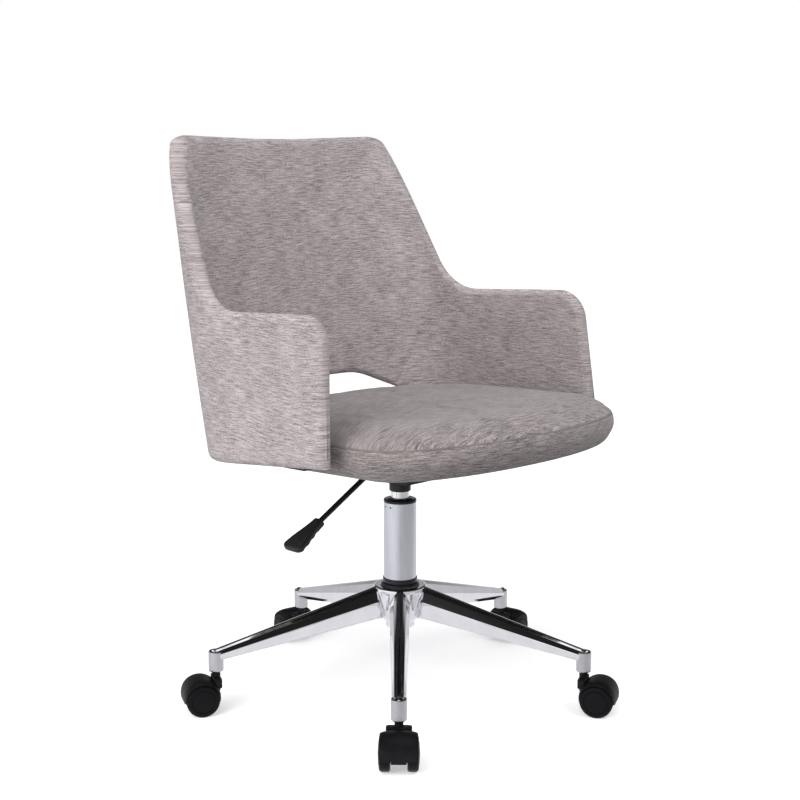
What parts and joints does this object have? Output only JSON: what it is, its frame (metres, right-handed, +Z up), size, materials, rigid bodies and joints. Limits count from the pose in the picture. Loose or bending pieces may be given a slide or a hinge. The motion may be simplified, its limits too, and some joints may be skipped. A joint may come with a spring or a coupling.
{
  "type": "swivel office chair",
  "caption": "Upholstered bucket-shell swivel chair on a height-adjustable gas lift and a chromed arm base with twin-wheel casters; lever under the seat.",
  "frame": {"origin": "on the floor, under the column's axis, with the seat at its lowest height", "axes": "+Z up along the column; the sitter looks along -Y; +X is at the sitter's left hand"},
  "size_m": [0.6576, 0.6579, 0.851],
  "materials": {
    "base_chrome": "polished chrome plate",
    "tube_chrome": "hard chrome, bright",
    "column_satin": "satin silver",
    "socket_satin": "satin silver",
    "plain_steel": "plain turned steel",
    "black_paint": "semi-gloss black",
    "black_plastic": "moulded black",
    "collar_plastic": "moulded black, polished",
    "caster_plastic": "black nylon, faintly textured",
    "bumper_rubber": "black rubber",
    "board_wood": "unfinished plywood",
    "dust_cloth": "black non-woven cloth",
    "seat_fabric": "heathered slub weave",
    "shell_fabric": "heathered slub weave"
  },
  "bodies": {
    "base": {"base_hub": "base_chrome", "base_arm_1": "base_chrome", "base_arm_2": "base_chrome", "base_arm_3": "base_chrome", "base_arm_4": "base_chrome", "base_arm_5": "base_chrome", "caster_sockets": "socket_satin", "caster_stems": "plain_steel", "stem_grip_rings": "plain_steel", "column_tube": "column_satin", "column_collar": "collar_plastic", "column_guide_bush": "black_plastic", "column_foot_plate": "plain_steel", "bearing_lower_race": "plain_steel", "bearing_cage": "plain_steel", "bearing_balls": "plain_steel"},
    "piston": {"piston_rod": "plain_steel", "bearing_upper_race": "plain_steel", "lift_bumper": "bumper_rubber", "rod_clip": "plain_steel"},
    "seat": {"pressure_tube": "tube_chrome", "rod_seal": "bumper_rubber", "valve_body": "plain_steel", "seat_plate": "black_paint", "taper_socket": "black_paint", "lever_pivot_pin": "plain_steel", "seat_cushion": "seat_fabric", "seat_board": "board_wood", "dust_cover": "dust_cloth", "plate_washers": "plain_steel", "shell_outer_cover": "shell_fabric", "shell_core": "board_wood", "shell_lining": "shell_fabric", "shell_brackets": "black_paint", "frame_bolts": "plain_steel", "t_nuts": "plain_steel", "bracket_screws": "plain_steel"},
    "lever": {"lever_rod": "black_paint", "lever_paddle": "black_plastic"},
    "release_pin": {"release_pin": "plain_steel"},
    "caster_1": {"caster_hood_1": "caster_plastic", "caster_axle_1": "plain_steel"},
    "wheel_1_a": {"caster_wheel_1_a": "caster_plastic"},
    "wheel_1_b": {"caster_wheel_1_b": "caster_plastic"},
    "caster_2": {"caster_hood_2": "caster_plastic", "caster_axle_2": "plain_steel"},
    "wheel_2_a": {"caster_wheel_2_a": "caster_plastic"},
    "wheel_2_b": {"caster_wheel_2_b": "caster_plastic"},
    "caster_3": {"caster_hood_3": "caster_plastic", "caster_axle_3": "plain_steel"},
    "wheel_3_a": {"caster_wheel_3_a": "caster_plastic"},
    "wheel_3_b": {"caster_wheel_3_b": "caster_plastic"},
    "caster_4": {"caster_hood_4": "caster_plastic", "caster_axle_4": "plain_steel"},
    "wheel_4_a": {"caster_wheel_4_a": "caster_plastic"},
    "wheel_4_b": {"caster_wheel_4_b": "caster_plastic"},
    "caster_5": {"caster_hood_5": "caster_plastic", "caster_axle_5": "plain_steel"},
    "wheel_5_a": {"caster_wheel_5_a": "caster_plastic"},
    "wheel_5_b": {"caster_wheel_5_b": "caster_plastic"}
  },
  "joints": [
    {"name": "seat_swivel", "type": "hinge", "parent": "base", "child": "piston", "pos_m": [0, 0, 0.13], "axis": [0, 0, 1], "continuous": true},
    {"name": "seat_height", "type": "slide", "parent": "piston", "child": "seat", "axis": [0, 0, 1], "range_m": [0, 0.1]},
    {"name": "lever_lift", "type": "hinge", "parent": "seat", "child": "lever", "pos_m": [-0.036, 0, 0.3568], "axis": [0, 1, 0], "range_deg": [0, 6]},
    {"name": "release_press", "type": "slide", "parent": "seat", "child": "release_pin", "axis": [0, 0, -1], "range_m": [0, 0.004]},
    {"name": "caster_1_swivel", "type": "hinge", "parent": "base", "child": "caster_1", "pos_m": [0.28453, 0.04456, 0.05], "axis": [0, 0, 1], "continuous": true},
    {"name": "wheel_1_a_spin", "type": "hinge", "parent": "caster_1", "child": "wheel_1_a", "pos_m": [0.30824, 0.04827, 0.025], "axis": [-0.1547, 0.988, 0], "continuous": true},
    {"name": "wheel_1_b_spin", "type": "hinge", "parent": "caster_1", "child": "wheel_1_b", "pos_m": [0.30824, 0.04827, 0.025], "axis": [-0.1547, 0.988, 0], "continuous": true},
    {"name": "caster_2_swivel", "type": "hinge", "parent": "base", "child": "caster_2", "pos_m": [0.04555, 0.28437, 0.05], "axis": [0, 0, 1], "continuous": true},
    {"name": "wheel_2_a_spin", "type": "hinge", "parent": "caster_2", "child": "wheel_2_a", "pos_m": [0.04934, 0.30807, 0.025], "axis": [-0.9874, 0.1582, 0], "continuous": true},
    {"name": "wheel_2_b_spin", "type": "hinge", "parent": "caster_2", "child": "wheel_2_b", "pos_m": [0.04934, 0.30807, 0.025], "axis": [-0.9874, 0.1582, 0], "continuous": true},
    {"name": "caster_3_swivel", "type": "hinge", "parent": "base", "child": "caster_3", "pos_m": [-0.25638, 0.1312, 0.05], "axis": [0, 0, 1], "continuous": true},
    {"name": "wheel_3_a_spin", "type": "hinge", "parent": "caster_3", "child": "wheel_3_a", "pos_m": [-0.27775, 0.14213, 0.025], "axis": [-0.4555, -0.8902, 0], "continuous": true},
    {"name": "wheel_3_b_spin", "type": "hinge", "parent": "caster_3", "child": "wheel_3_b", "pos_m": [-0.27775, 0.14213, 0.025], "axis": [-0.4555, -0.8902, 0], "continuous": true},
    {"name": "caster_4_swivel", "type": "hinge", "parent": "base", "child": "caster_4", "pos_m": [-0.204, -0.20329, 0.05], "axis": [0, 0, 1], "continuous": true},
    {"name": "wheel_4_a_spin", "type": "hinge", "parent": "caster_4", "child": "wheel_4_a", "pos_m": [-0.221, -0.22023, 0.025], "axis": [0.7059, -0.7083, 0], "continuous": true},
    {"name": "wheel_4_b_spin", "type": "hinge", "parent": "caster_4", "child": "wheel_4_b", "pos_m": [-0.221, -0.22023, 0.025], "axis": [0.7059, -0.7083, 0], "continuous": true},
    {"name": "caster_5_swivel", "type": "hinge", "parent": "base", "child": "caster_5", "pos_m": [0.1303, -0.25684, 0.05], "axis": [0, 0, 1], "continuous": true},
    {"name": "wheel_5_a_spin", "type": "hinge", "parent": "caster_5", "child": "wheel_5_a", "pos_m": [0.14116, -0.27824, 0.025], "axis": [0.8918, 0.4524, 0], "continuous": true},
    {"name": "wheel_5_b_spin", "type": "hinge", "parent": "caster_5", "child": "wheel_5_b", "pos_m": [0.14116, -0.27824, 0.025], "axis": [0.8918, 0.4524, 0], "continuous": true}
  ],
  "couplings": [
    {"joint": "release_press", "follows": "lever_lift", "m_per_rad": 0.036}
  ]
}
